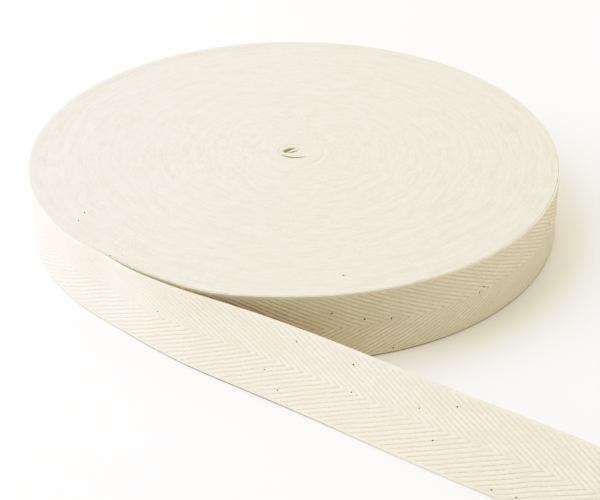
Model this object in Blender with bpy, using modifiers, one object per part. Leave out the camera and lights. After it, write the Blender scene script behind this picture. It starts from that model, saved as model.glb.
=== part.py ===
"""Roll of woven cotton tape lying on its side, with its outer end paid out on edge.

Metres, +Z up, +Y away from the viewer.  Seen from above, the strip winds counter-clockwise
from the eye outwards, leaves the rim at the near left and runs to the near right.  The origin
is the bottom centre of the box round both pieces.
"""
import math
from collections import namedtuple

import bmesh
import bpy
from mathutils import Vector

# Driving dimensions
TAPE_WIDTH = 0.025
TURN_PITCH = 0.000565
ROLL_RADIUS = 0.095
SHEET_THICKNESS = 0.001
LOOSE_LENGTH = 0.185
PIECE_GAP = 0.0003

# Where the tape leaves the roll, in degrees counter-clockwise from +X
LEAVING_ANGLE = 228.0
# The turn below the loose end is pressed in a little, so that the sheet's root lies within the rim
SEAT_DEPTH = 0.0009
SEAT_SPAN = 20.0
RIM_STEPS = 240

# The eye, measured from the centre of the roll
EYE_CENTRE = Vector((-0.001, 0.0003))
EYE_HALF_WIDTH = 0.0030
EYE_HALF_DEPTH = 0.0026
EYE_STEPS = 40
# The start of the tape is folded in from the back right of the eye
START_ANGLE = 60.0
START_THICKNESS = 0.0009
START_TIP = Vector((-0.0020, 0.0))

# Slit between the innermost coil and the next turns, a crescent round the near side of the eye
SLIT_FROM = 205.0
SLIT_TO = 318.0
SLIT_RADIUS_FROM = 0.0049
SLIT_RADIUS_TO = 0.0062
SLIT_WIDTH = 0.0009
SLIT_STEPS = 20

# Course of the loose end: distance along its lower edge in metres, the way that the edge heads
# in degrees from +X, and how far the tape leans back from upright in degrees
Station = namedtuple("Station", "along heading lean")
COURSE = (
    Station(0.000, -42.0, 0.0),
    Station(0.012, -43.5, 1.5),
    Station(0.030, -40.0, 9.0),
    Station(0.050, -34.5, 18.0),
    Station(0.075, -34.8, 24.5),
    Station(0.105, -36.0, 27.5),
    Station(0.140, -34.2, 30.0),
    Station(0.185, -36.0, 33.0),
)
COURSE_STEPS = 74
# The sheet is modelled this much deeper, then trimmed flat at the surface it stands on
TRIM_ALLOWANCE = 0.0015

WOUND_COLOUR = (0.86, 0.81, 0.69, 1.0)
WOVEN_COLOUR = (0.83, 0.77, 0.64, 1.0)
COTTON_ROUGHNESS = 0.92


def on_circle(angle, radius):
    """Point at an angle in degrees and a radius, in plan."""
    turn = math.radians(angle)
    return Vector((radius * math.cos(turn), radius * math.sin(turn)))


def rim_points():
    """Outline of the outermost turn, from the step where the tape leaves it round to that step."""
    points = []
    for step in range(RIM_STEPS + 1):
        wound = step / RIM_STEPS
        pressed = max(0.0, 1.0 - 360.0 * wound / SEAT_SPAN)
        radius = ROLL_RADIUS - TURN_PITCH * (1.0 - wound) - SEAT_DEPTH * pressed
        points.append(on_circle(LEAVING_ANGLE + 360.0 * wound, radius))
    return points


def eye_points():
    """Outline of the eye: an oval that the folded start of the tape reaches into."""
    root = Vector((
        EYE_HALF_WIDTH * math.cos(math.radians(START_ANGLE)),
        EYE_HALF_DEPTH * math.sin(math.radians(START_ANGLE)),
    ))
    tip = START_TIP - EYE_CENTRE
    inward = (tip - root).normalized()
    side = Vector((-inward.y, inward.x)) * START_THICKNESS / 2
    half_span = math.degrees(START_THICKNESS / (EYE_HALF_WIDTH + EYE_HALF_DEPTH))
    points = []
    for step in range(EYE_STEPS + 1):
        angle = math.radians(START_ANGLE + half_span + (360.0 - 2 * half_span) * step / EYE_STEPS)
        oval = Vector((EYE_HALF_WIDTH * math.cos(angle), EYE_HALF_DEPTH * math.sin(angle)))
        points.append(EYE_CENTRE + oval)
    points.append(EYE_CENTRE + tip + side)
    points.append(EYE_CENTRE + tip - side)
    return points


def slit_points():
    """Outline of the crescent slit, out along its far side and back along its near side."""
    outer = []
    inner = []
    for step in range(SLIT_STEPS + 1):
        way = step / SLIT_STEPS
        angle = SLIT_FROM + (SLIT_TO - SLIT_FROM) * way
        radius = SLIT_RADIUS_FROM + (SLIT_RADIUS_TO - SLIT_RADIUS_FROM) * way ** 2
        outer.append(EYE_CENTRE + on_circle(angle, radius))
        if 0 < step < SLIT_STEPS:
            inner.append(EYE_CENTRE + on_circle(angle, radius - SLIT_WIDTH * math.sin(math.pi * way)))
    return outer + inner[::-1]


def course_value(along, column):
    """Value of one column of the course at a distance, through a smooth curve."""
    last = len(COURSE) - 2
    row = max(n for n in range(last + 1) if COURSE[n].along <= along or n == 0)
    before, start = COURSE[max(row - 1, 0)], COURSE[row]
    end, after = COURSE[row + 1], COURSE[min(row + 2, last + 1)]
    span = end.along - start.along
    part = (along - start.along) / span
    v0, v1 = getattr(start, column), getattr(end, column)
    slope_in = (v1 - getattr(before, column)) / (end.along - before.along) * span
    slope_out = (getattr(after, column) - v0) / (after.along - start.along) * span
    square, cube = part ** 2, part ** 3
    return (
        (2 * cube - 3 * square + 1) * v0
        + (cube - 2 * square + part) * slope_in
        + (3 * square - 2 * cube) * v1
        + (cube - square) * slope_out
    )


def loose_end_frames():
    """Foot of the outer face, and the unit vector up that face, for each cross-section."""
    step_length = (LOOSE_LENGTH - PIECE_GAP) / COURSE_STEPS
    along = PIECE_GAP
    foot = on_circle(LEAVING_ANGLE, ROLL_RADIUS)
    foot += on_circle(COURSE[0].heading, PIECE_GAP)
    frames = []
    for _ in range(COURSE_STEPS + 1):
        heading = course_value(along, "heading")
        lean = math.radians(course_value(along, "lean"))
        back = on_circle(heading + 90.0, math.sin(lean))
        frames.append((foot.copy(), Vector((back.x, back.y, math.cos(lean)))))
        foot += on_circle(course_value(along + step_length / 2, "heading"), step_length)
        along = min(along + step_length, LOOSE_LENGTH)
    return frames


def material(name, colour):
    """Matt cotton of one colour."""
    cotton = bpy.data.materials.new(name)
    cotton.use_nodes = True
    shader = cotton.node_tree.nodes["Principled BSDF"]
    shader.inputs["Base Color"].default_value = colour
    shader.inputs["Roughness"].default_value = COTTON_ROUGHNESS
    shader.inputs["Metallic"].default_value = 0.0
    cotton.diffuse_color = colour
    return cotton


def add_outline(curve, points):
    """Add one closed outline to a flat curve."""
    spline = curve.splines.new("POLY")
    spline.points.add(len(points) - 1)
    for knot, point in zip(spline.points, points):
        knot.co = (point.x, point.y, 0.0, 1.0)
    spline.use_cyclic_u = True


def finish(obj, cotton, parent):
    """Give a piece its material, smooth its round faces and place it."""
    obj.data.materials.append(cotton)
    obj.data.shade_smooth()
    obj.data.set_sharp_from_angle(angle=math.radians(30.0))
    obj.parent = parent


def build_wound_roll(collection, centre):
    """The wound turns as one solid: a spiral outline, with the eye and the slit cut through."""
    curve = bpy.data.curves.new("wound_roll_outline", "CURVE")
    curve.dimensions = "2D"
    curve.fill_mode = "BOTH"
    curve.extrude = TAPE_WIDTH / 2
    add_outline(curve, rim_points())
    add_outline(curve, eye_points())
    add_outline(curve, slit_points())
    outline = bpy.data.objects.new("wound_roll_outline", curve)
    collection.objects.link(outline)

    graph = bpy.context.evaluated_depsgraph_get()
    mesh = bpy.data.meshes.new_from_object(outline.evaluated_get(graph))
    bpy.data.objects.remove(outline)
    shape = bmesh.new()
    shape.from_mesh(mesh)
    bmesh.ops.remove_doubles(shape, verts=shape.verts, dist=0.00001)
    bmesh.ops.translate(shape, verts=shape.verts, vec=(0.0, 0.0, TAPE_WIDTH / 2))
    shape.to_mesh(mesh)
    shape.free()

    roll = bpy.data.objects.new("wound_roll", mesh)
    collection.objects.link(roll)
    finish(roll, material("wound_cotton", WOUND_COLOUR), centre)
    return roll


def build_loose_end(collection, cutters, centre):
    """The paid out end: a strip bent to its course, thickened inwards and trimmed at its foot."""
    frames = loose_end_frames()
    shape = bmesh.new()
    bmesh.ops.create_grid(shape, x_segments=COURSE_STEPS, y_segments=1, size=1.0)
    for vert in shape.verts:
        foot, up = frames[round((vert.co.x + 1) / 2 * COURSE_STEPS)]
        height = TAPE_WIDTH if vert.co.y > 0 else -TRIM_ALLOWANCE
        vert.co = foot.to_3d() + up * height
    mesh = bpy.data.meshes.new("loose_end")
    shape.to_mesh(mesh)
    shape.free()

    sheet = bpy.data.objects.new("loose_end", mesh)
    collection.objects.link(sheet)
    finish(sheet, material("woven_cotton", WOVEN_COLOUR), centre)
    thicken = sheet.modifiers.new("Thickness", "SOLIDIFY")
    thicken.thickness = SHEET_THICKNESS
    thicken.offset = -1.0

    shape = bmesh.new()
    bmesh.ops.create_cube(shape, size=1.0)
    block = bpy.data.meshes.new("surface_trim")
    shape.to_mesh(block)
    shape.free()
    cutter = bpy.data.objects.new("surface_trim", block)
    cutters.objects.link(cutter)
    cutter.location.z = -0.5
    cutter.hide_render = True
    cutter.display_type = "WIRE"
    trim = sheet.modifiers.new("Foot", "BOOLEAN")
    trim.operation = "DIFFERENCE"
    trim.solver = "EXACT"
    trim.object = cutter
    return sheet


def box_centre():
    """Middle, in plan, of the box round the rim and the loose end."""
    points = rim_points()
    for foot, up in loose_end_frames():
        points.append(foot)
        points.append(foot + up.xy * TAPE_WIDTH)
    low = Vector((min(p.x for p in points), min(p.y for p in points)))
    high = Vector((max(p.x for p in points), max(p.y for p in points)))
    return (low + high) / 2


def main():
    """Build the roll and its loose end about the roll's centre, then centre their box."""
    for obj in list(bpy.data.objects):
        bpy.data.objects.remove(obj)
    collection = bpy.data.collections.new("tape_roll")
    cutters = bpy.data.collections.new("cutters")
    bpy.context.scene.collection.children.link(collection)
    bpy.context.scene.collection.children.link(cutters)

    centre = bpy.data.objects.new("roll_centre", None)
    collection.objects.link(centre)
    centre.location = -box_centre().to_3d()
    build_wound_roll(collection, centre)
    build_loose_end(collection, cutters, centre)


main()
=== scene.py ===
"""Roll of unbleached herringbone tape lying on its side, with its outer end paid out on edge.

Metres, +Z up, +Y away from the camera.  Distances along the tape count from the place where it
leaves the roll: below zero round the roll, above zero along the loose end.
"""
import logging
import math
import random
from dataclasses import dataclass, field
from enum import Enum
from typing import Callable, Mapping, Optional, Sequence, Union

import bpy
from mathutils import Matrix, Vector, noise


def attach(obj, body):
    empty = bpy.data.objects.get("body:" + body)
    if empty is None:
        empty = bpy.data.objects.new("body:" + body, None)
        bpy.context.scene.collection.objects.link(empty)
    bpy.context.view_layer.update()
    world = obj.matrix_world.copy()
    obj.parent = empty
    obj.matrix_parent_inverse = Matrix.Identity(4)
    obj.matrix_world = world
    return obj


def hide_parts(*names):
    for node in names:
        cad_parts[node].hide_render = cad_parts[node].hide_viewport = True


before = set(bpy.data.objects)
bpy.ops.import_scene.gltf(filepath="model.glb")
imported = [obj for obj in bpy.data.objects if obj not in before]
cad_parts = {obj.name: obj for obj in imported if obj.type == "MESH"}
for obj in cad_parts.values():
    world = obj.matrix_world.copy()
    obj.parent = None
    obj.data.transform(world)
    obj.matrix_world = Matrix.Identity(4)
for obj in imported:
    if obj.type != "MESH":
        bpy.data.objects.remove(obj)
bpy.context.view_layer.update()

log = logging.getLogger("tape_roll")

Colour = tuple[float, float, float, float]
# Length and breadth of a cell of noise, in the units of the coordinates that it is read at
Cell = tuple[float, float]


# Sizes that the sub-assemblies share


def smooth_value(rows: Sequence[object], key: str, column: str, place: float) -> float:
    """One column of a table at a place between its rows, through a smooth curve.

    Args:
        rows: The table, in the order of its key.
        key: The column that the place is measured in.
        column: The column that is read.
        place: The place, which is held to the table's ends.

    Returns:
        The value there.
    """
    keys = [getattr(row, key) for row in rows]
    place = min(max(place, keys[0]), keys[-1])
    row = max(n for n in range(len(rows) - 1) if keys[n] <= place)
    before, after = max(row - 1, 0), min(row + 2, len(rows) - 1)
    first, last = getattr(rows[row], column), getattr(rows[row + 1], column)
    span = keys[row + 1] - keys[row]
    part = (place - keys[row]) / span
    slope_in = (last - getattr(rows[before], column)) / (keys[row + 1] - keys[before]) * span
    slope_out = (getattr(rows[after], column) - first) / (keys[after] - keys[row]) * span
    square, cube = part ** 2, part ** 3
    return (
        (2 * cube - 3 * square + 1) * first
        + (cube - 2 * square + part) * slope_in
        + (3 * square - 2 * cube) * last
        + (cube - square) * slope_out
    )


@dataclass(frozen=True)
class RimPlace:
    """How far the roll's top rim stands out at an angle in degrees; less than zero is a dent."""

    angle: float
    out: float


@dataclass(frozen=True)
class RollSizes:
    """The roll as it is wound: where it stands, its width, its radius and its turns."""

    # The frame's origin is the middle of the box round the roll and its loose end
    centre: Vector = Vector((0.00014125, 0.04274501, 0.0))
    width: float = 0.025
    radius: float = 0.095
    pitch: float = 0.000565
    leaving_angle: float = 228.0
    loose_length: float = 0.185
    # The turns count from the slit's radius outwards: the coil's first, the slit's and the last
    first_turn: float = -4.0625
    slit_turn: float = -0.0625
    last_turn: float = 156.0
    rim: tuple[RimPlace, ...] = (
        RimPlace(185.0, 0.0),
        RimPlace(197.0, -0.00015),
        RimPlace(208.0, -0.00035),
        RimPlace(219.0, -0.00070),
        RimPlace(224.0, -0.00130),
        RimPlace(228.5, -0.00185),
        RimPlace(233.0, -0.00130),
        RimPlace(241.0, -0.00055),
        RimPlace(246.0, 0.00010),
        RimPlace(250.0, 0.00085),
        RimPlace(255.0, 0.00130),
        RimPlace(261.0, 0.00080),
        RimPlace(267.0, 0.00035),
        RimPlace(280.0, 0.0),
    )
    # Share of the height that a dent reaches down to, and the power by which a bulge hangs over
    dent_reach: float = 0.5
    overhang: float = 2.5

    @property
    def turn_length(self) -> float:
        """Length of tape in the outermost turn."""
        return math.tau * self.radius

    def rim_out(self, angle: float) -> float:
        """How far the top rim stands out at an angle in degrees."""
        return smooth_value(self.rim, "angle", "out", angle % 360.0)

    def out_at(self, out: float, height: float) -> float:
        """How far a turn stands out at a height.

        Args:
            out: How far its top edge stands out.
            height: The height above the surface.

        Returns:
            A dent that reaches half way down, or a bulge that hangs over near the top.
        """
        share = height / self.width
        return out * (eased(share, 0.0, self.dent_reach) if out < 0.0 else max(share, 0.0) ** self.overhang)


class Held(Enum):
    LAID = "laid"
    FOLDED = "folded"


def around(angle: float, radius: float) -> Vector:
    """Point in plan at an angle and a radius.

    Args:
        angle: Degrees counter-clockwise from +X.
        radius: Distance from the centre.

    Returns:
        The point, at height zero.
    """
    turn = math.radians(angle)
    return Vector((radius * math.cos(turn), radius * math.sin(turn), 0.0))


def eased(value: float, start: float, end: float) -> float:
    """Share of the way from start to end, eased at both.

    Args:
        value: The value to place.
        start: Where the share is 0.
        end: Where the share is 1.

    Returns:
        A share from 0 to 1.
    """
    share = min(max((value - start) / (end - start), 0.0), 1.0)
    return share * share * (3.0 - 2.0 * share)


@dataclass(frozen=True)
class EyeShape:
    """The eye of the roll: a slanting oval, measured from the roll's centre."""

    centre: Vector = Vector((-0.0013, 0.00095, 0.0))
    half_length: float = 0.0032
    half_width: float = 0.0019
    tilt: float = 20.0

    def place(self, x: float, y: float) -> Vector:
        """Plan of a place given along and across the oval's length."""
        return self.centre + Matrix.Rotation(math.radians(self.tilt), 3, "Z") @ Vector((x, y, 0.0))

    def rim(self, angle: float, out: float) -> Vector:
        """Plan of a place round the oval.

        Args:
            angle: Degrees counter-clockwise from +X.
            out: Distance outside the oval.

        Returns:
            The place.
        """
        turn = math.radians(angle - self.tilt)
        length, width = self.half_length + out, self.half_width + out
        return self.place(length * math.cos(turn), width * math.sin(turn))


@dataclass(frozen=True)
class Station:
    """One place on the loose end's course.

    Its distance, its heading and backward lean in degrees, and how far its top edge stands out.
    """

    along: float
    heading: float
    lean: float
    out: float = 0.0


@dataclass
class TapeCourse:
    """The way the tape goes: round the outside of the roll, then off along the surface."""

    roll: RollSizes
    stations: tuple[Station, ...] = (
        Station(0.000, -42.0, 0.0, -0.00185),
        Station(0.012, -43.5, 1.5, -0.00070),
        Station(0.030, -40.0, 9.0, 0.00040),
        Station(0.050, -34.5, 18.0, 0.00045),
        Station(0.075, -34.8, 24.5, 0.00020),
        Station(0.105, -36.0, 27.5),
        Station(0.140, -34.2, 30.0),
        Station(0.185, -36.0, 33.0),
    )
    step: float = 0.0005
    feet: list[Vector] = field(default_factory=list)

    def __post_init__(self) -> None:
        """Trace the foot of the loose end, a step at a time."""
        foot = around(self.roll.leaving_angle, self.roll.radius)
        for index in range(round(self.roll.loose_length / self.step) + 2):
            self.feet.append(foot.copy())
            foot += around(self.value((index + 0.5) * self.step, "heading"), self.step)

    def value(self, along: float, column: str) -> float:
        """One column of the stations at a distance from where the tape leaves the roll."""
        return smooth_value(self.stations, "along", column, along)

    def point(self, along: float, height: float, proud: float, thickness: float) -> Vector:
        """Where a place on the flat tape comes to lie.

        Args:
            along: Distance along the tape.
            height: Distance up from its lower selvedge.
            proud: Distance out of its outer face.
            thickness: Depth of the tape through its weave, for it stands on its inner lower edge.

        Returns:
            The place in the frame.
        """
        roll = self.roll
        if along < 0.0:
            angle = roll.leaving_angle + math.degrees(along / roll.radius)
            foot = around(angle, roll.radius + roll.pitch * along / roll.turn_length)
            heading, lean = angle + 90.0, 0.0
            out = roll.rim_out(angle)
        else:
            index = min(int(along / self.step), len(self.feet) - 2)
            foot = self.feet[index].lerp(self.feet[index + 1], along / self.step - index)
            heading = self.value(along, "heading")
            lean = math.radians(self.value(along, "lean"))
            out = self.value(along, "out")
        outward = around(heading - 90.0, 1.0)
        proud += roll.out_at(out, height)
        up = Vector((0.0, 0.0, math.cos(lean))) - outward * math.sin(lean)
        face = Vector((0.0, 0.0, math.sin(lean))) + outward * math.cos(lean)
        lift = Vector((0.0, 0.0, thickness * math.sin(lean)))
        return roll.centre + foot + lift + up * height + face * proud


# Shader maths


class Value:
    """A number inside a shader.  Python's arithmetic on it adds Math nodes."""

    def __init__(self, shader: "Shader", socket: bpy.types.NodeSocket) -> None:
        """Wrap one output socket."""
        self.shader = shader
        self.socket = socket

    def __add__(self, other: "Number") -> "Value":
        """This and another."""
        return self.shader.maths("ADD", self, other)

    __radd__ = __add__

    def __mul__(self, other: "Number") -> "Value":
        """This times another."""
        return self.shader.maths("MULTIPLY", self, other)

    __rmul__ = __mul__

    def __sub__(self, other: "Number") -> "Value":
        """This less another."""
        return self.shader.maths("SUBTRACT", self, other)

    def __rsub__(self, other: "Number") -> "Value":
        """Another less this."""
        return self.shader.maths("SUBTRACT", other, self)

    def __truediv__(self, other: "Number") -> "Value":
        """This over another."""
        return self.shader.maths("DIVIDE", self, other)

    def __abs__(self) -> "Value":
        """The size of this, without its sign."""
        return self.shader.maths("ABSOLUTE", self)

    def fraction(self) -> "Value":
        """What is left of this above a whole number."""
        return self.shader.maths("FRACT", self)

    def sine(self) -> "Value":
        """The sine of this, in radians."""
        return self.shader.maths("SINE", self)

    def share(self, start: float, end: float) -> "Value":
        """Share of the way from start to end, eased.

        Args:
            start: Value at which the share is 0.
            end: Value at which the share is 1.

        Returns:
            A share from 0 to 1.
        """
        inputs = {"Value": self, "From Min": start, "From Max": end}
        return self.shader.number("ShaderNodeMapRange", {"interpolation_type": "SMOOTHSTEP"}, inputs)

    def tinted(self, tint: "Tint") -> "Value":
        """Share of a tint where this has the value of a noise."""
        return self.share(tint.start, tint.end) * tint.most


Number = Union[float, Value]
Settings = Mapping[str, object]
Inputs = Mapping[Union[int, str], object]


@dataclass(frozen=True)
class Tint:
    """How a noise tints a colour: the noise where it starts and ends, and its fullest share."""

    start: float
    end: float
    most: float


class Shader:
    """A material that is put together node by node."""

    def __init__(self, name: str) -> None:
        """Start an empty material.

        Args:
            name: Name of the finish.
        """
        self.material = bpy.data.materials.new(name)
        self.material.use_nodes = True
        self.nodes = self.material.node_tree.nodes
        self.links = self.material.node_tree.links
        self.surface = self.nodes["Principled BSDF"]

    def node(self, kind: str, settings: Settings, inputs: Inputs) -> bpy.types.Node:
        """Add any node.

        Args:
            kind: Blender's name for the type of node.
            settings: The node's own settings, which are set first.
            inputs: Value or link for each of its sockets, by name or number.

        Returns:
            The node.
        """
        made = self.nodes.new(kind)
        for name, setting in settings.items():
            setattr(made, name, setting)
        for name, value in inputs.items():
            self.feed(made.inputs[name], value)
        return made

    def feed(self, socket: bpy.types.NodeSocket, value: object) -> None:
        """Link or set one socket.

        Args:
            socket: The socket.
            value: A link's other end, or what the socket is set to.
        """
        if isinstance(value, Value):
            value = value.socket
        if isinstance(value, bpy.types.NodeSocket):
            self.links.new(value, socket)
        else:
            socket.default_value = value

    def number(self, kind: str, settings: Settings, inputs: Inputs) -> Value:
        """Add a node and take its first output as a number."""
        return Value(self, self.node(kind, settings, inputs).outputs[0])

    def maths(self, operation: str, *values: Number) -> Value:
        """Add one Math node."""
        return self.number("ShaderNodeMath", {"operation": operation}, dict(enumerate(values)))

    def vector(self, x: Number, y: Number, z: Number = 0.0) -> bpy.types.NodeSocket:
        """Put three numbers together as a vector."""
        return self.node("ShaderNodeCombineXYZ", {}, {0: x, 1: y, 2: z}).outputs[0]

    def grain(self, place: object, scale: float, detail: float = 2.0) -> Value:
        """Noise from 0 to 1.

        Args:
            place: The coordinates that it is read at.
            scale: Cells to the unit of those coordinates.
            detail: Octaves of finer noise.

        Returns:
            The noise.
        """
        return self.number("ShaderNodeTexNoise", {}, {"Vector": place, "Scale": scale, "Detail": detail})

    def cell_grain(self, along: Value, across: Value, cell: Cell, detail: float = 2.0) -> Value:
        """Noise from 0 to 1 in cells that may be longer than they are broad.

        Args:
            along: The coordinate that a cell's length is measured in.
            across: The coordinate that its breadth is measured in.
            cell: Its length and breadth.
            detail: Octaves of finer noise.

        Returns:
            The noise.
        """
        return self.grain(self.vector(along / cell[0], across / cell[1]), 1.0, detail)

    def layered(self, base: Colour, *layers: tuple[Number, Colour]) -> bpy.types.NodeSocket:
        """Lay colours over one another.

        Args:
            base: The lowest colour.
            layers: How much there is of each colour above it, and that colour, from below.

        Returns:
            The mixed colour's socket.
        """
        colour: object = base
        for share, above in layers:
            inputs = {0: share, 6: colour, 7: above}
            colour = self.node("ShaderNodeMix", {"data_type": "RGBA"}, inputs).outputs[2]
        return colour

    def raise_by(self, height: Value, strength: float, relief: float) -> None:
        """Give the surface a bump.

        Args:
            height: The height, in units of the relief.
            strength: How strong the bump is, from 0 to 1.
            relief: How far a height of 1 stands up.
        """
        bump = self.node("ShaderNodeBump", {}, {"Strength": strength, "Distance": relief, "Height": height})
        self.feed(self.surface.inputs["Normal"], bump.outputs[0])

    def finished(self, colour: object, roughness: float, sheen: float = 0.0) -> bpy.types.Material:
        """Give the surface its colour and gloss.

        Args:
            colour: The colour, or the socket that it comes from.
            roughness: The surface's roughness.
            sheen: The weight of its sheen.

        Returns:
            The finished material.
        """
        for name, value in (("Base Color", colour), ("Roughness", roughness), ("Sheen Weight", sheen)):
            self.feed(self.surface.inputs[name], value)
        return self.material

    def flat_place(self) -> tuple[Value, Value]:
        """The piece's own flat coordinates, in metres.

        Returns:
            Distance along the tape, and distance up or across it.
        """
        cloth = self.node("ShaderNodeUVMap", {"uv_map": "flat"}, {})
        split = self.node("ShaderNodeSeparateXYZ", {}, {0: cloth.outputs[0]})
        return Value(self, split.outputs[0]), Value(self, split.outputs[1])

    def object_place(self) -> bpy.types.NodeSocket:
        """The place in the frame, in metres."""
        return self.node("ShaderNodeTexCoord", {}, {}).outputs["Object"]

    def arc_place(self, centre: Vector, cells: float, width: float) -> bpy.types.NodeSocket:
        """Coordinates that go round a centre, so that noise read at them lies in arcs.

        Args:
            centre: The centre in plan.
            cells: Cells of noise to a radian.
            width: How wide each cell is, from the centre outwards.

        Returns:
            The coordinates.
        """
        split = self.node("ShaderNodeSeparateXYZ", {}, {0: self.object_place()})
        right = Value(self, split.outputs[0]) - centre.x
        away = Value(self, split.outputs[1]) - centre.y
        radius = self.maths("SQRT", right * right + away * away)
        return self.vector(right / radius * cells, away / radius * cells, radius / width)


# Finishes


@dataclass(frozen=True)
class HerringboneCotton:
    """Unbleached cotton in a herringbone twill, with plain selvedges."""

    width: float
    name: str = "herringbone_cotton"
    ridge: Colour = (0.836, 0.763, 0.655, 1.0)
    # groove: painted shade in the grooves between the wales, also the darker tone that the fuzz brings
    groove: Colour = (0.620, 0.555, 0.470, 1.0)
    slub: Colour = (0.760, 0.692, 0.590, 1.0)
    # foot: painted contact shadow along the lower selvedge, where the tape stands on the surface
    foot: Colour = (0.400, 0.380, 0.335, 1.0)
    roughness: float = 0.93
    sheen: float = 0.08
    wale_pitch: float = 0.00322
    wale_angle: float = 25.0
    selvedge: float = 0.0009
    # Over what height the wales set in beside a selvedge, and change at the middle of the tape
    selvedge_blend: float = 0.0002
    middle_blend: float = 0.0010
    yarn_pitch: float = 0.00042
    pick_pitch: float = 0.00050
    # The bump: its relief and strength, and how much of it each of these gives
    relief: float = 0.00010
    bump: float = 0.7
    from_weave: float = 0.25
    from_fuzz: float = 0.6
    from_grooves: float = 0.5
    from_streaks: float = 0.3
    # As shares of a wale's width, where its groove is darkest and where it ends
    groove_ends: tuple[float, float] = (0.03, 0.24)
    # The painted shade in the grooves is deeper in some places than in others: the cells, and how much they
    # add
    broken_cell: Cell = (0.0013, 0.0008)
    broken: Tint = Tint(0.30, 0.62, 0.75)
    # In the loose end's upper half the wales' painted shade and their bump are fainter by this share,
    # reached from here to here
    fainter: float = 0.30
    fainter_from: tuple[float, float] = (0.0, 0.020)
    # Streaks along the yarn, broad mottles and fine fuzz: their cells, and how each tints the cloth
    streak_cell: Cell = (0.006, 0.0005)
    mottle_cell: Cell = (0.008, 0.005)
    fuzz_cell: Cell = (0.0007, 0.0007)
    # Share of the groove colour in the grooves: painted shade between the wales
    groove_shade: float = 0.85
    streaks: Tint = Tint(0.50, 0.70, 0.45)
    mottles: Tint = Tint(0.42, 0.62, 0.65)
    fuzzy: Tint = Tint(0.52, 0.70, 0.35)
    # The foot's painted contact shadow, where the tape stands upright: how high it is dark, and by what
    # share
    foot_shadow_height: float = 0.00062
    foot_shadow_share: float = 0.95
    # Between these distances along the tape, where it leans, the painted shadow at the foot falls by this
    # much
    foot_shadow_fades: tuple[float, float] = (0.050, 0.130)
    foot_shadow_faded: float = 0.70

    def material(self) -> bpy.types.Material:
        """Mix the finish from the tape's flat coordinates.

        Returns:
            The finish as a material.
        """
        shader = Shader(self.name)
        along, up = shader.flat_place()
        middle = self.width / 2
        half = abs(up - middle)
        edge = middle - self.selvedge
        in_weave = 1.0 - half.share(edge - self.selvedge_blend, edge)

        skew = 1.0 / math.tan(math.radians(self.wale_angle))
        wale = ((along + half * skew) / self.wale_pitch).fraction()
        to_groove = 0.5 - abs(wale - 0.5)
        broken = shader.cell_grain(along, up, self.broken_cell)
        groove = (1.0 - to_groove.share(*self.groove_ends)) * in_weave * (broken.tinted(self.broken) + 0.5)
        blend = self.middle_blend / 2
        upper = up.share(middle - blend, middle + blend) * along.share(*self.fainter_from)
        groove = groove * (1.0 - upper * self.fainter)

        yarn = (up * (math.tau / self.yarn_pitch)).sine()
        pick = (along * (math.tau / self.pick_pitch)).sine()
        streak = shader.cell_grain(along, up, self.streak_cell)
        mottle = shader.cell_grain(along, up, self.mottle_cell)
        fuzz = shader.cell_grain(along, up, self.fuzz_cell, 3.0)
        # Painted contact shadow at the foot, weaker where the tape leans back
        in_foot_shadow = 1.0 - up.share(self.foot_shadow_height * 0.4, self.foot_shadow_height)
        # The groove layer is painted shade in the grooves between the wales
        colour = shader.layered(
            self.ridge,
            (groove * self.groove_shade, self.groove),
            (streak.tinted(self.streaks), self.slub),
            (mottle.tinted(self.mottles), self.slub),
            (fuzz.tinted(self.fuzzy), self.groove),
            (in_foot_shadow * (self.foot_shadow_share - along.share(*self.foot_shadow_fades) * self.foot_shadow_faded), self.foot),
        )
        height = yarn * pick * self.from_weave + fuzz * self.from_fuzz - groove * self.from_grooves
        shader.raise_by(height + streak * self.from_streaks, self.bump, self.relief)
        return shader.finished(colour, self.roughness, self.sheen)


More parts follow.
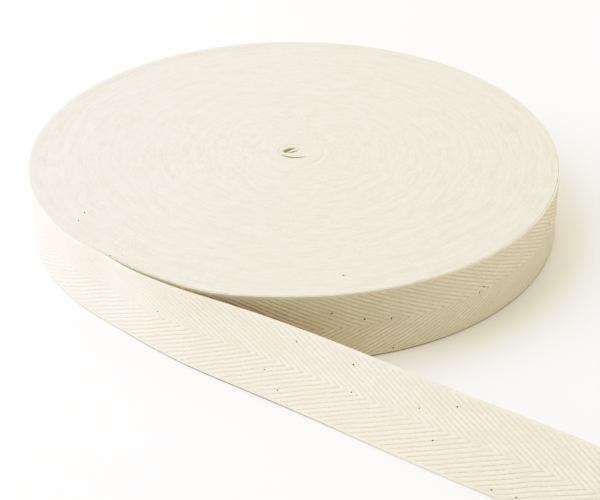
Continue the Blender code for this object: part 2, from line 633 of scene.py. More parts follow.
@dataclass(frozen=True)
class WoundEdges:
    """The selvedges of the turns, side by side on the roll's flat faces."""

    centre: Vector
    pitch: float
    name: str = "wound_edges"
    crown: Colour = (0.806, 0.744, 0.664, 1.0)
    # between: painted shade in the gaps between turns, also the darker tone of the loops, wear, fuzz,
    # mottles and arcs
    between: Colour = (0.655, 0.607, 0.525, 1.0)
    roughness: float = 0.95
    sheen: float = 0.08
    # The bump: its relief and strength, and how much of it each of these gives
    relief: float = 0.00012
    bump: float = 0.6
    from_loops: float = 0.8
    from_worn: float = 0.5
    from_mottles: float = 0.5
    # As shares of a turn's thickness, where the painted shade in the gap beside it is darkest and where it
    # ends
    gap_ends: tuple[float, float] = (0.02, 0.28)
    # Share of the between colour in a gap: painted shade between two turns
    gap_shade: float = 0.45
    # The yarn's loops and the worn lengths: how long they are, and how many there are to a turn
    loop_length: float = 0.0011
    loops_to_turn: float = 0.8
    worn_length: float = 0.009
    worn_to_turn: float = 0.45
    mottle_size: float = 0.0032
    fuzz_size: float = 0.0010
    # Arcs round the centre: cells to a radian and width of an arc
    arc_cells: float = 7.0
    arc_width: float = 0.0016
    loops: Tint = Tint(0.50, 0.78, 0.36)
    worn: Tint = Tint(0.45, 0.75, 0.28)
    mottles: Tint = Tint(0.40, 0.70, 0.20)
    arcs: Tint = Tint(0.45, 0.68, 0.42)
    # The face is fuzzier in patches: their size and ends, and the fuzz outside them
    patch_size: float = 0.012
    patches: Tint = Tint(0.45, 0.65, 0.30)
    fuzzy: Tint = Tint(0.45, 0.70, 0.28)

    def material(self) -> bpy.types.Material:
        """Mix the finish from the wound turns' flat coordinates and the place.

        Returns:
            The finish as a material.
        """
        shader = Shader(self.name)
        along, across = shader.flat_place()
        turn = across / self.pitch
        to_gap = 0.5 - abs(turn.fraction() - 0.5)
        gap = 1.0 - to_gap.share(*self.gap_ends)
        place = shader.object_place()
        loops = shader.cell_grain(along, turn, (self.loop_length, 1.0 / self.loops_to_turn))
        worn = shader.cell_grain(along, turn, (self.worn_length, 1.0 / self.worn_to_turn))
        mottle = shader.grain(place, 1.0 / self.mottle_size, 3.0)
        fuzz = shader.grain(place, 1.0 / self.fuzz_size)
        arcs = shader.grain(shader.arc_place(self.centre, self.arc_cells, self.arc_width), 1.0, 3.0)
        rough = shader.grain(place, 1.0 / self.patch_size).share(self.patches.start, self.patches.end)
        fuzz_share = rough * self.patches.most + self.fuzzy.most
        # The first tint is painted shade in the gaps between turns; the others are the cloth's own tones
        tints = (
            gap * self.gap_shade,
            loops.tinted(self.loops),
            worn.tinted(self.worn),
            fuzz.share(self.fuzzy.start, self.fuzzy.end) * fuzz_share,
            mottle.tinted(self.mottles),
            arcs.tinted(self.arcs),
        )
        colour = shader.layered(self.crown, *((tint, self.between) for tint in tints))
        height = loops * self.from_loops + worn * self.from_worn + mottle * self.from_mottles
        shader.raise_by(height + fuzz * (rough + 0.5) + arcs, self.bump, self.relief)
        return shader.finished(colour, self.roughness, self.sheen)


@dataclass(frozen=True)
class SeedHusk:
    """Flecks of seed husk that are left in unbleached cotton."""

    name: str = "seed_husk"
    dark: Colour = (0.060, 0.042, 0.024, 1.0)
    pale: Colour = (0.220, 0.160, 0.095, 1.0)
    roughness: float = 0.85
    tone_size: float = 0.00625
    tones: Tint = Tint(0.40, 0.62, 1.0)

    def material(self) -> bpy.types.Material:
        """Mix the finish, darker in some flecks than in others.

        Returns:
            The finish as a material.
        """
        shader = Shader(self.name)
        tone = shader.grain(shader.object_place(), 1.0 / self.tone_size, 1.0)
        colour = shader.layered(self.dark, (tone.tinted(self.tones), self.pale))
        return shader.finished(colour, self.roughness)


@dataclass(frozen=True)
class StudioPaper:
    """The white paper that the roll lies on."""

    name: str = "studio_paper"
    white: Colour = (0.977, 0.957, 0.971, 1.0)
    roughness: float = 0.9

    def material(self) -> bpy.types.Material:
        """The finish as a material."""
        return Shader(self.name).finished(self.white, self.roughness)


# Bench: what the maker's hands do


class Bench:
    """Blender's own operators, each on one piece with nothing else selected."""

    @staticmethod
    def clear() -> None:
        """Deselect everything, in object mode."""
        if bpy.context.object is not None and bpy.context.object.mode != "OBJECT":
            bpy.ops.object.mode_set(mode="OBJECT")
        bpy.ops.object.select_all(action="DESELECT")

    @classmethod
    def take(cls, piece: bpy.types.Object) -> None:
        """Select one piece alone and make it active.

        Args:
            piece: The piece.
        """
        cls.clear()
        piece.select_set(True)
        bpy.context.view_layer.objects.active = piece

    @classmethod
    def edit(cls, piece: bpy.types.Object) -> None:
        """Take a piece into edit mode with all of it selected.

        Args:
            piece: The piece.
        """
        cls.take(piece)
        bpy.ops.object.mode_set(mode="EDIT")
        bpy.ops.mesh.select_all(action="SELECT")

    @classmethod
    def flat_strip(cls, name: str, columns: int, rows: int) -> bpy.types.Object:
        """Lay out a flat grid, ready to be shaped.

        Args:
            name: Name of the piece.
            columns: Cells along it.
            rows: Cells across it.

        Returns:
            The new piece.
        """
        cls.clear()
        bpy.ops.mesh.primitive_grid_add(x_subdivisions=columns, y_subdivisions=rows, size=1.0)
        strip = bpy.context.object
        strip.name = strip.data.name = name
        return strip

    @staticmethod
    def shape(piece: bpy.types.Object, place: Callable[[int, Vector], Vector]) -> None:
        """Move each point of a piece.

        Args:
            piece: The piece.
            place: Gives a point's new place from its number and its old place.
        """
        moved: list[float] = []
        for point in piece.data.vertices:
            moved.extend(place(point.index, point.co))
        piece.data.vertices.foreach_set("co", moved)
        piece.data.update()

    @staticmethod
    def keep_flat(
        piece: bpy.types.Object, place: Optional[Callable[[int], tuple[float, float]]] = None
    ) -> None:
        """Write the piece's flat coordinates to a UV map called flat.

        Args:
            piece: The piece, still flat where place is left out.
            place: Gives a point's flat coordinates from its number.
        """
        layers = piece.data.uv_layers
        while layers:
            layers.remove(layers[0])
        layer = layers.new(name="flat")
        points = [place(p.index) if place else (p.co.x, p.co.y) for p in piece.data.vertices]
        values: list[float] = []
        for loop in piece.data.loops:
            values.extend(points[loop.vertex_index])
        layer.data.foreach_set("uv", values)

    @classmethod
    def trim(cls, piece: bpy.types.Object, place: Vector, off: Vector) -> None:
        """Cut a piece straight across and drop what lies beyond.

        Args:
            piece: The piece.
            place: A point on the cut.
            off: The way to the side that is dropped.
        """
        cls.edit(piece)
        bpy.ops.mesh.bisect(plane_co=place, plane_no=off, clear_outer=True, threshold=1e-7)
        bpy.ops.object.mode_set(mode="OBJECT")

    @classmethod
    def thicken(cls, piece: bpy.types.Object, thickness: float, offset: float = -1.0) -> None:
        """Give a sheet its thickness and apply it.

        Args:
            piece: The sheet.
            thickness: Its thickness.
            offset: -1 for inwards from its outer face, 0 for both ways.
        """
        cls.take(piece)
        solid = piece.modifiers.new("Thickness", "SOLIDIFY")
        solid.thickness = thickness
        solid.offset = offset
        bpy.ops.object.modifier_apply(modifier=solid.name)

    @classmethod
    def smooth(cls, piece: bpy.types.Object, degrees: float) -> None:
        """Shade a piece smooth, with sharp edges above an angle."""
        cls.take(piece)
        bpy.ops.object.shade_smooth_by_angle(angle=math.radians(degrees))

    @staticmethod
    def dress(piece: bpy.types.Object, finish: bpy.types.Material) -> None:
        """Put one finish on all of a piece."""
        piece.data.materials.clear()
        piece.data.materials.append(finish)


# Sub-assemblies


@dataclass
class OuterTape:
    """The last turn and the loose end, one length of herringbone tape."""

    roll: RollSizes
    course: TapeCourse
    finish: HerringboneCotton
    name: str = "outer_tape"
    thickness: float = 0.00042
    relief: float = 0.00014
    wale_columns: int = 6
    # How far the weave stands up across one wale, from its groove on
    wale_profile: tuple[float, ...] = (0.0, 0.72, 1.0, 1.0, 0.96, 0.62)
    # Heights of the rows of one selvedge, from its edge in, and how proud each is
    selvedge_rows: tuple[tuple[float, float], ...] = ((0.0, 0.3), (0.00035, 0.65), (0.0009, 0.75))
    foot_proud: float = -0.3
    body_rows: int = 10
    scallop: float = 0.00007
    # Degrees of the tape's start that lie out of sight below its own turn
    hidden_start: float = 3.0
    # How far the wales wander along the tape, over what length, in which slice of the noise, and
    # how near an end of the tape they stop
    drift: float = 0.0005
    drift_length: float = 0.009
    drift_slice: float = 3.7
    held_length: float = 0.01

    @property
    def depth(self) -> float:
        """Depth of the tape through its weave."""
        return self.thickness + self.relief

    def heights(self) -> list[tuple[float, Optional[float]]]:
        """List the rows of the grid.

        Returns:
            Height of each row, and how proud it is where that is fixed.
        """
        low = [(0.0, self.foot_proud), *self.selvedge_rows[1:]]
        high = [(self.roll.width - height, proud) for height, proud in reversed(self.selvedge_rows)]
        first, middle = self.selvedge_rows[-1][0], self.roll.width / 2
        span = (middle - first) / self.body_rows
        body = [(first + span * (row + 1), None) for row in range(2 * self.body_rows - 1)]
        return low + body + high

    def build(self) -> bpy.types.Object:
        """Weave the flat tape, cut its ends square, wind it and give it its thickness.

        Returns:
            The finished piece.
        """
        roll, finish = self.roll, self.finish
        skew = 1.0 / math.tan(math.radians(finish.wale_angle))
        column = finish.wale_pitch / self.wale_columns
        start = -roll.turn_length * (1.0 + self.hidden_start / 360.0)
        first_wale = math.floor(start / finish.wale_pitch)
        last_wale = math.ceil((roll.loose_length + roll.width / 2 * skew) / finish.wale_pitch)
        columns = (last_wale - first_wale) * self.wale_columns
        rows = self.heights()

        tape = Bench.flat_strip(self.name, columns, len(rows) - 1)

        def weave(index: int, _: Vector) -> Vector:
            """Place one point of the flat cloth.

            Args:
                index: Its number in the grid.

            Returns:
                Its distance along, its height and its relief.
            """
            row, place = divmod(index, columns + 1)
            height, fixed = rows[row]
            along = first_wale * finish.wale_pitch + place * column
            along -= abs(height - roll.width / 2) * skew
            proud = self.wale_profile[place % self.wale_columns] if fixed is None else fixed
            if row in (0, len(rows) - 1) and place % 2:
                height += self.scallop if row == 0 else -self.scallop
            return Vector((along, height, self.relief * (proud - 1.0)))

        Bench.shape(tape, weave)
        Bench.trim(tape, Vector((start, 0.0, 0.0)), Vector((-1.0, 0.0, 0.0)))
        Bench.trim(tape, Vector((roll.loose_length, 0.0, 0.0)), Vector((1.0, 0.0, 0.0)))
        Bench.keep_flat(tape)

        def wind(_: int, flat: Vector) -> Vector:
            """Wind one point of the flat cloth, with its wales a little astray.

            Args:
                flat: Its place in the flat cloth.

            Returns:
                Its place in the frame.
            """
            cell = Vector((flat.x / self.drift_length, flat.y / self.drift_length, self.drift_slice))
            freed = eased(flat.x, start, start + self.held_length)
            held = eased(flat.x, roll.loose_length - self.held_length, roll.loose_length)
            astray = self.drift * noise.noise(cell) * freed * (1.0 - held)
            return self.course.point(flat.x + astray, flat.y, flat.z, self.depth)

        Bench.shape(tape, wind)
        Bench.thicken(tape, self.thickness)
        Bench.smooth(tape, 60.0)
        Bench.dress(tape, finish.material())
        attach(tape, "root")
        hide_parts("loose_end", "wound_roll")
        flat = (roll.width, roll.loose_length - start)
        return tape


@dataclass
class WoundTurns:
    """A run of turns as one closed body, whose faces show every turn's selvedge.

    Turns count from the slit beside the innermost coil outwards, and each starts at the same
    angle, so that a turn's outer edge is the next one's inner edge.
    """

    roll: RollSizes
    finish: bpy.types.Material
    name: str
    first: float
    last: float
    columns_to_turn: int = 96
    seam_angle: float = 225.0
    slit_radius: float = 0.00569
    eye: EyeShape = EyeShape()
    # How far the innermost coil lies below the other turns
    coil_drop: float = 0.00022
    # The turns near the slit are flatter than round by this share, and round from this radius on
    oval: float = 0.12
    round_from: float = 0.020
    # The slit: its centre, its ends in degrees, its width, and how far the coil's edge falls to it
    slit_centre: Vector = Vector((-0.001, 0.0003, 0.0))
    slit: tuple[float, float] = (203.0, 322.0)
    slit_width: float = 0.0012
    slit_slope: float = 0.0005
    # How deep the gap between two turns is, and the share of a turn's thickness at its two crowns
    gap_depth: float = 0.00007
    crown_places: tuple[float, ...] = (0.33, 0.67)
    # How far one turn lies below another here and there, over what length of tape, and in which
    # slice of the noise
    uneven: float = 0.00009
    uneven_length: float = 0.013
    uneven_slice: tuple[float, float] = (7.3, 1.9)
    # The face's broad waves: how deep they are, their cells to a radian, and how wide each is
    waves: float = 0.00018
    wave_cells: float = 1.3
    wave_width: float = 0.0028
    # A turn that has sunk a little on the near right of the eye: its radius, width and angles
    sunk_radius: float = 0.0107
    sunk_width: float = 0.0005
    sunk: tuple[float, float] = (275.0, 380.0)
    sunk_depth: float = 0.00022
    # The rim's dent and bulge fade out inwards to this radius, and a bulge starts at this height
    pressed_from: float = 0.074
    bulge_from: float = 0.015
    # How far the last turn is let out to meet the tape round it
    snug: float = 0.00012
    # The coil lies level by this share, and so do the other turns from this one outwards
    flush: float = 0.85
    flush_from: float = 148.0
    weld: float = 0.000004

    @property
    def is_coil(self) -> bool:
        """Whether this run is the innermost coil."""
        return self.last <= self.roll.slit_turn

    @property
    def coil_turns(self) -> float:
        """How many turns the innermost coil has."""
        return -self.roll.first_turn

    def plan(self, turn: float) -> Vector:
        """Where an edge between two turns runs, measured from the roll's centre.

        Args:
            turn: The turn, with its part turned.

        Returns:
            The place in plan.
        """
        angle = self.seam_angle + 360.0 * turn
        radius = self.slit_radius + self.roll.pitch * max(turn, 0.0)
        squash = 1.0 - self.oval * (1.0 - eased(radius, self.slit_radius, self.round_from))
        place = around(angle, radius)
        place.y *= squash
        if turn < 0.0:
            # The coil's first turn grows out of the eye's edge, which it leaves as a plain oval
            share = max(turn + self.coil_turns - 1.0, 0.0) / (self.coil_turns - 1.0)
            place = self.eye.rim(angle, 0.0).lerp(place, share)
        if self.is_coil:
            inset = self.slit_width * self.slit_share(angle) * self.coil_share(turn) ** 2
            place -= (place - self.slit_centre).normalized() * inset
        return place

    def coil_share(self, turn: float) -> float:
        """How far out through the innermost coil a turn is, from 0 to 1."""
        return min(max((turn + self.coil_turns) / self.coil_turns, 0.0), 1.0)

    def slit_share(self, angle: float) -> float:
        """How far open the slit is at an angle in degrees, from 0 to 1."""
        way = ((angle - self.slit[0]) % 360.0) / (self.slit[1] - self.slit[0])
        return math.sin(math.pi * way) ** 0.7 if way < 1.0 else 0.0

    def height(self, turn: float, crown: bool, place: Vector) -> float:
        """Height above the roll's mid plane of a place on its upper face.

        Args:
            turn: The turn, with its part turned.
            crown: Whether the place is on a turn, not between two.
            place: The place in plan.

        Returns:
            The height.
        """
        radius = place.length
        direction = place.normalized() if radius else Vector((1.0, 0.0, 0.0))
        level = 1.0 if self.is_coil else eased(turn, self.flush_from, self.last)
        loose = 1.0 - self.flush * level
        across = direction * self.wave_cells
        wave = noise.noise(Vector((across.x, across.y, radius / self.wave_width)))
        top = self.roll.width / 2 - self.waves * (0.5 - 0.5 * wave) * loose
        if self.is_coil:
            opened = self.slit_share(self.seam_angle + 360.0 * turn)
            top -= self.coil_drop + self.slit_slope * opened * self.coil_share(turn) ** 8
        if crown:
            lower = noise.noise(Vector((self.along(turn) / self.uneven_length, *self.uneven_slice)))
            top -= self.uneven * (0.5 + 0.5 * lower) * loose
        else:
            top -= self.gap_depth * loose
        angle = (math.degrees(math.atan2(place.y, place.x)) - self.sunk[0]) % 360.0
        way = min(angle / (self.sunk[1] - self.sunk[0]), 1.0)
        nearness = math.exp(-((radius - self.sunk_radius) / self.sunk_width) ** 2)
        return top - self.sunk_depth * math.sin(math.pi * way) ** 0.5 * nearness

    def along(self, turn: float) -> float:
        """Length of tape from the slit to a turn, which is less than zero inside it."""
        return math.tau * (self.slit_radius * turn + self.roll.pitch * turn * abs(turn) / 2)

    def build(self) -> bpy.types.Object:
        """Wind a ribbon of the turns' edges, weld turn to turn, and make it a closed body.

        Returns:
            The finished piece.
        """
        shares = (0.0, *self.crown_places, 1.0)
        columns = round((self.last - self.first) * self.columns_to_turn)
        ribbon = Bench.flat_strip(self.name, columns, len(shares) - 1)
        flat: list[tuple[float, float]] = []

        def wind(index: int, _: Vector) -> Vector:
            """Place one point of the ribbon on the upper face, and keep its flat coordinates.

            Args:
                index: Its number in the ribbon.

            Returns:
                Its place above the roll's mid plane.
            """
            row, place = divmod(index, columns + 1)
            share = shares[row]
            turn = self.first + place / self.columns_to_turn
            plan = self.plan(turn).lerp(self.plan(turn + 1.0), share)
            if turn + share > self.last and not self.is_coil:
                plan += plan.normalized() * self.snug * (turn + share - self.last)
            flat.append((self.along(turn), self.roll.pitch * (turn + share)))
            crown = 0.0 < share < 1.0
            return plan + Vector((0.0, 0.0, self.height(turn, crown, plan)))

        Bench.shape(ribbon, wind)
        Bench.keep_flat(ribbon, lambda index: flat[index])
        Bench.edit(ribbon)
        bpy.ops.mesh.remove_doubles(threshold=self.weld)
        bpy.ops.mesh.select_all(action="DESELECT")
        bpy.ops.mesh.select_non_manifold()
        bpy.ops.mesh.extrude_edges_move(TRANSFORM_OT_translate={"value": (0.0, 0.0, -self.roll.width / 4)})
        bpy.ops.transform.resize(value=(1.0, 1.0, 0.0), center_override=(0.0, 0.0, 0.0))
        bpy.ops.object.mode_set(mode="OBJECT")

        mirror = ribbon.modifiers.new("Lower face", "MIRROR")
        mirror.use_axis = (False, False, True)
        mirror.merge_threshold = self.weld
        bpy.ops.object.modifier_apply(modifier=mirror.name)
        Bench.edit(ribbon)
        bpy.ops.mesh.normals_make_consistent(inside=False)
        bpy.ops.transform.translate(value=self.roll.centre + Vector((0.0, 0.0, self.roll.width / 2)))
        bpy.ops.object.mode_set(mode="OBJECT")

        def press(_: int, point: Vector) -> Vector:
            """Follow the rim where its top is pressed in or stands out.

            Args:
                point: The point's place in the frame.

            Returns:
                Its new place.
            """
            plan = (point - self.roll.centre) * Vector((1.0, 1.0, 0.0))
            share = eased(plan.length, self.pressed_from, self.roll.radius)
            if share <= 0.0:
                return point
            out = self.roll.rim_out(math.degrees(math.atan2(plan.y, plan.x)))
            height = point.z if out < 0.0 or point.z > self.bulge_from else 0.0
            return point + plan.normalized() * self.roll.out_at(out, height) * share

        Bench.shape(ribbon, press)
        Bench.smooth(ribbon, 65.0)
        Bench.dress(ribbon, self.finish)
        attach(ribbon, "root")
        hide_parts("wound_roll")
        return ribbon


@dataclass
class FoldedStart:
    """The start of the tape: it lines the eye's near side, then lies in layers across it."""

    roll: RollSizes
    eye: EyeShape
    finish: bpy.types.Material
    name: str = "folded_start"
    thickness: float = 0.00050
    # Share of the thickness by which the strip's edges are rounded
    rounding: float = 0.3
    # The lining: its ends in degrees, and how far inside the eye's edge it and its corner lie
    lining: tuple[float, float] = (-175.0, 36.0)
    lining_steps: int = 40
    inset: float = 0.00029
    corner_inset: float = 0.00065
    corner_steps: int = 8
    layers: int = 3
    layer_pitch: float = 0.00055
    # How far to the left the first and the last layer reach, and to the right all of them
    left_ends: tuple[float, float] = (-0.0019, -0.0004)
    right_end: float = 0.0021
    fold_steps: int = 6
    # How far beyond the eye's long axis the middle layer lies
    beyond: float = 0.00055
    # Heights of the strip's rows of points, closer together at its selvedges
    rows: tuple[float, ...] = (0.0, 0.0004, 0.0010, 0.0240, 0.0246, 0.0250)
    # The layers' left end has sunk into the eye, between these places and by this much
    sunk_from: float = -0.0003
    sunk_to: float = -0.0011
    sunk: float = 0.0010
    # How far the top of the strip lies below the roll's face
    set_down: float = 0.00045

    def path(self) -> list[Vector]:
        """Trace the middle line of the strip.

        Returns:
            Its points in plan, from where it lines the eye to its end.
        """
        eye = self.eye
        first, last = self.lining
        spread = (last - first) / self.lining_steps
        line = [eye.rim(first + spread * step, -self.inset) for step in range(self.lining_steps + 1)]
        across = self.layer_pitch * (self.layers - 1) / 2 + self.beyond
        entry, corner = line[-1], eye.place(eye.half_length - self.corner_inset, across)
        into = eye.place(self.right_end, across)
        for step in range(1, self.corner_steps + 1):
            share = step / self.corner_steps
            line.append(entry.lerp(corner, share).lerp(corner.lerp(into, share), share))
        side = 1.0
        for layer in range(self.layers):
            side = -side
            end = self.left_ends[layer // 2] if side < 0.0 else self.right_end
            line.append(eye.place(end, across))
            if layer == self.layers - 1:
                break
            for step in range(1, self.fold_steps + 1):
                turn = math.pi * step / self.fold_steps
                reach = end + side * math.sin(turn) * self.layer_pitch / 2
                line.append(eye.place(reach, across - self.layer_pitch / 2 * (1.0 - math.cos(turn))))
            across -= self.layer_pitch
        return line

    def build(self) -> bpy.types.Object:
        """Stand a strip on edge along the path and give it its thickness.

        Returns:
            The finished piece.
        """
        line = self.path()
        lengths = [0.0]
        for before, after in zip(line, line[1:]):
            lengths.append(lengths[-1] + (after - before).length)
        strip = Bench.flat_strip(self.name, len(line) - 1, len(self.rows) - 1)

        def stand(index: int, _: Vector) -> Vector:
            """Place one point of the strip."""
            row, place = divmod(index, len(line))
            return Vector((lengths[place], self.rows[row], 0.0))

        Bench.shape(strip, stand)
        Bench.keep_flat(strip)

        def bend(index: int, flat: Vector) -> Vector:
            """Fold one point of the strip into the eye.

            Args:
                index: Its number in the strip.
                flat: Its place in the flat strip.

            Returns:
                Its place in the frame.
            """
            place = line[index % len(line)]
            reach = (place - self.eye.centre).dot(self.eye.place(1.0, 0.0) - self.eye.centre)
            in_layers = index % len(line) > self.lining_steps
            sunk = self.sunk * (1.0 - eased(reach, self.sunk_to, self.sunk_from)) if in_layers else 0.0
            height = flat.y - (self.set_down + sunk) * flat.y / self.roll.width
            return self.roll.centre + place + Vector((0.0, 0.0, height))

        Bench.shape(strip, bend)
        Bench.thicken(strip, self.thickness, offset=0.0)
        round_edge = strip.modifiers.new("Selvedge", "BEVEL")
        round_edge.width = self.thickness * self.rounding
        round_edge.segments = 2
        round_edge.limit_method = "ANGLE"
        round_edge.angle_limit = math.radians(50.0)
        bpy.ops.object.modifier_apply(modifier=round_edge.name)
        Bench.smooth(strip, 50.0)
        Bench.dress(strip, self.finish)
        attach(strip, "root")
        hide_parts("wound_roll")
        return strip


@dataclass(frozen=True)
class Fleck:
    """One fleck on the tape's outer face: distance along, height, length and lie in degrees."""

    along: float
    height: float
    length: float
    lie: float


@dataclass(frozen=True)
class FaceFleck:
    """One fleck on the roll's upper face: its angle and distance from the centre, and length."""

    angle: float
    distance: float
    length: float


@dataclass
class SeedFlecks:
    """Flecks of seed husk, each a small flat grain that is bedded in the cloth."""

    roll: RollSizes
    course: TapeCourse
    finish: SeedHusk
    tape_depth: float
    name: str = "seed_flecks"
    breadth: float = 0.00042
    depth: float = 0.00020
    on_tape: tuple[Fleck, ...] = (
        Fleck(0.02606, 0.01437, 0.0007, 20.0),
        Fleck(0.07566, 0.02087, 0.0008, 80.0),
        Fleck(0.09551, 0.02060, 0.0007, 30.0),
        Fleck(0.06727, 0.00885, 0.0007, 60.0),
        Fleck(0.07328, 0.00424, 0.0006, 10.0),
        Fleck(0.09741, 0.01262, 0.0007, 45.0),
        Fleck(0.11979, 0.01606, 0.0006, 75.0),
        Fleck(0.13092, 0.02060, 0.0007, 25.0),
        Fleck(0.12666, 0.00876, 0.0006, 55.0),
        Fleck(0.14803, 0.00201, 0.0007, 15.0),
        Fleck(0.15556, 0.00284, 0.0006, 40.0),
        Fleck(-0.51566, 0.01829, 0.0010, 35.0),
        Fleck(-0.50500, 0.01481, 0.0010, 10.0),
        Fleck(-0.49599, 0.01343, 0.0009, 70.0),
        Fleck(-0.49500, 0.00181, 0.0009, 20.0),
        Fleck(-0.46195, 0.01249, 0.0010, 65.0),
        Fleck(-0.45997, 0.01377, 0.0009, 15.0),
    )
    on_face: tuple[FaceFleck, ...] = (
        FaceFleck(211.5, 0.08294, 0.0009),
        FaceFleck(230.0, 0.09230, 0.0011),
        FaceFleck(280.6, 0.08367, 0.0009),
        FaceFleck(214.0, 0.08700, 0.0007),
    )
    # How deep a fleck is bedded in the tape and in the face, and how it lies on the face
    bedded: float = 0.00002
    face_bedded: float = 0.00010
    face_lie: float = 60.0
    # How far beside a fleck the tape's own directions are read
    probe: float = 0.0004
    # Flecks strewn over the back of the rim, which the photograph shows only at its two ends
    strewn: int = 30
    strewn_from: float = -0.430
    strewn_to: float = -0.055
    strewn_length: tuple[float, float] = (0.0005, 0.0009)
    margin: float = 0.0015
    seed: int = 7

    def grain(self, place: Vector, length_way: Vector, out: Vector, length: float) -> bpy.types.Object:
        """Bed one grain in the cloth.

        Args:
            place: Its middle.
            length_way: The way that it lies.
            out: The way out of the cloth.
            length: Its length.

        Returns:
            The grain, finished but for its material.
        """
        across = out.cross(length_way).normalized()
        ahead = across.cross(out).normalized()
        frame_of = Matrix((ahead, across, out.normalized())).transposed()
        scale = Matrix.Diagonal(Vector((length, self.breadth, self.depth)))
        Bench.clear()
        bpy.ops.mesh.primitive_ico_sphere_add(subdivisions=1, radius=0.5)
        made = bpy.context.object
        Bench.shape(made, lambda _, point: place + frame_of @ (scale @ point))
        return made

    def build(self) -> bpy.types.Object:
        """Bed every fleck and join them.

        Returns:
            The finished piece.
        """
        dice = random.Random(self.seed)
        flecks = list(self.on_tape)
        for _ in range(self.strewn):
            along = dice.uniform(self.strewn_from, self.strewn_to)
            height = dice.uniform(self.margin, self.roll.width - self.margin)
            flecks.append(Fleck(along, height, dice.uniform(*self.strewn_length), dice.uniform(0.0, 90.0)))

        grains = []
        step = self.probe
        for fleck in flecks:
            place, ahead, above = (
                self.course.point(fleck.along + along, fleck.height + up, 0.0, self.tape_depth)
                for along, up in ((0.0, 0.0), (step, 0.0), (0.0, step))
            )
            out = (ahead - place).cross(above - place)
            turn = math.radians(fleck.lie)
            lie = (ahead - place) * math.cos(turn) + (above - place) * math.sin(turn)
            grains.append(self.grain(place - out.normalized() * self.bedded, lie, out, fleck.length))
        out = Vector((0.0, 0.0, 1.0))
        face = self.roll.centre + out * (self.roll.width - self.face_bedded)
        for fleck in self.on_face:
            place = face + around(fleck.angle, fleck.distance)
            grains.append(self.grain(place, around(fleck.angle + self.face_lie, 1.0), out, fleck.length))

        Bench.clear()
        for grain in grains:
            grain.select_set(True)
        bpy.context.view_layer.objects.active = grains[0]
        bpy.ops.object.join()
        flecks_piece = bpy.context.object
        flecks_piece.name = flecks_piece.data.name = self.name
        Bench.smooth(flecks_piece, 60.0)
        Bench.dress(flecks_piece, self.finish.material())
        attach(flecks_piece, "root")
        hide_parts("loose_end", "wound_roll")
        return flecks_piece


# Studio


@dataclass(frozen=True)
class Softbox:
    """One soft round light: where it hangs round the roll, its power in watts and its colour."""

    name: str
    azimuth: float
    elevation: float
    distance: float
    power: float
    colour: tuple[float, float, float]


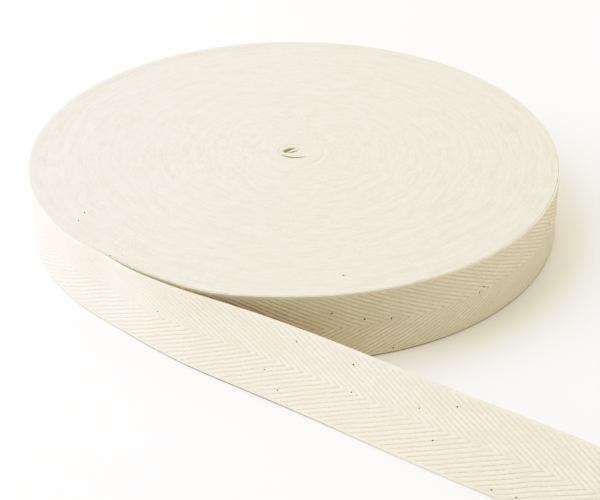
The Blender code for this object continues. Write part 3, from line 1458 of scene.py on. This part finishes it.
@dataclass
class Studio:
    """White floor, soft light mostly from the left, the camera and its tone curve."""

    roll: RollSizes
    finish: StudioPaper
    floor_size: float = 14.0
    camera_place: Vector = Vector((0.0, -0.49557, 0.29231))
    camera_aim: Vector = Vector((0.0017028, -0.0672839, 0.025))
    camera_roll: float = 0.149
    focal_length: float = 93.664
    lights: tuple[Softbox, ...] = (
        Softbox("low_window", 180.0, 12.0, 1.0, 5.1, (0.93, 0.93, 1.12)),
        Softbox("high_window", 180.0, 50.0, 1.0, 4.1, (0.93, 0.93, 1.12)),
        Softbox("back_light", 90.0, 50.0, 1.3, 2.5, (0.96, 0.94, 1.06)),
        Softbox("right_fill", 0.0, 30.0, 1.3, 1.1, (1.03, 1.04, 0.95)),
    )
    light_size: float = 1.0
    sky: float = 0.535
    sky_tint: Colour = (1.09, 1.08, 0.88, 1.0)
    # The camera's tone curve, from the light that reaches it to the light that the picture shows
    tone: tuple[tuple[float, float], ...] = (
        (0.08, 0.047), (0.20, 0.143), (0.35, 0.360), (0.50, 0.562), (0.65, 0.774),
        (0.80, 0.897), (0.90, 0.954), (1.00, 0.990), (1.25, 1.063),
    )

    def lay_floor(self) -> bpy.types.Object:
        """Lay the white floor.

        Returns:
            The floor, which is no part of the roll.
        """
        Bench.clear()
        bpy.ops.mesh.primitive_plane_add(size=self.floor_size)
        floor = bpy.context.object
        floor.name = "studio_floor"
        Bench.dress(floor, self.finish.material())
        return floor

    def light(self) -> None:
        """Hang the soft lights round the roll and fill the room with a warm white."""
        for box in self.lights:
            lamp = bpy.data.lights.new(box.name, "AREA")
            lamp.shape = "DISK"
            lamp.size = self.light_size
            lamp.energy = box.power
            lamp.color = box.colour
            light = bpy.data.objects.new(box.name, lamp)
            bpy.context.scene.collection.objects.link(light)
            height = math.radians(box.elevation)
            way = around(box.azimuth, math.cos(height)) + Vector((0.0, 0.0, math.sin(height)))
            light.location = self.roll.centre + way * box.distance
            light.rotation_euler = way.to_track_quat("Z", "Y").to_euler()
        world = bpy.data.worlds.new("white_room")
        world.use_nodes = True
        back = world.node_tree.nodes["Background"]
        back.inputs["Color"].default_value = self.sky_tint
        back.inputs["Strength"].default_value = self.sky
        bpy.context.scene.world = world

    def set_camera(self) -> None:
        """Put the camera where the photograph was taken from, by the fit to the roll's rims."""
        lens = bpy.data.cameras.new("camera")
        lens.lens = self.focal_length
        lens.sensor_width = 36.0
        lens.clip_start = 0.02
        camera = bpy.data.objects.new("camera", lens)
        bpy.context.scene.collection.objects.link(camera)
        place = self.roll.centre + self.camera_place
        aim = self.roll.centre + self.camera_aim
        tilt = Matrix.Rotation(math.radians(self.camera_roll), 3, "Z")
        turn = (aim - place).to_track_quat("-Z", "Y").to_matrix() @ tilt
        camera.location = place
        camera.rotation_euler = turn.to_euler()
        bpy.context.scene.camera = camera

    def set_tone(self) -> None:
        """Give the picture the tone curve of the camera."""
        view = bpy.context.scene.view_settings
        view.view_transform = "Standard"
        view.use_curve_mapping = True
        mapping = view.curve_mapping
        mapping.clip_max_x = mapping.clip_max_y = 1.5
        for_all_colours = 3
        curve = mapping.curves[for_all_colours]
        curve.points[1].location = self.tone[-1]
        for light, shown in self.tone[:-1]:
            curve.points.new(light, shown)
        mapping.update()

    def build(self) -> None:
        """Set up all of the studio."""
        self.lay_floor()
        self.light()
        self.set_camera()
        self.set_tone()


def report(piece: bpy.types.Object) -> None:
    """Log one finished piece.

    Args:
        piece: The piece.
    """
    triangles = sum(len(face.vertices) - 2 for face in piece.data.polygons)
    sides = (1000.0 * side for side in piece.dimensions)
    log.info("%s: %d triangles, %.1f x %.1f x %.1f mm", piece.name, triangles, *sides)


def main() -> None:
    """Build the studio and every piece, in order."""
    logging.basicConfig(level=logging.INFO, format="%(name)s: %(message)s")
    roll = RollSizes()
    course = TapeCourse(roll)
    cotton = HerringboneCotton(roll.width)
    edges = WoundEdges(roll.centre, roll.pitch).material()

    Studio(roll, StudioPaper()).build()
    tape = OuterTape(roll, course, cotton)
    report(tape.build())
    report(WoundTurns(roll, edges, "wound_turns", roll.slit_turn, roll.last_turn).build())
    coil = WoundTurns(roll, edges, "innermost_coil", roll.first_turn, roll.slit_turn)
    report(coil.build())
    report(FoldedStart(roll, coil.eye, cotton.material()).build())
    report(SeedFlecks(roll, course, SeedHusk(), tape.depth).build())


if __name__ == "__main__":
    main()
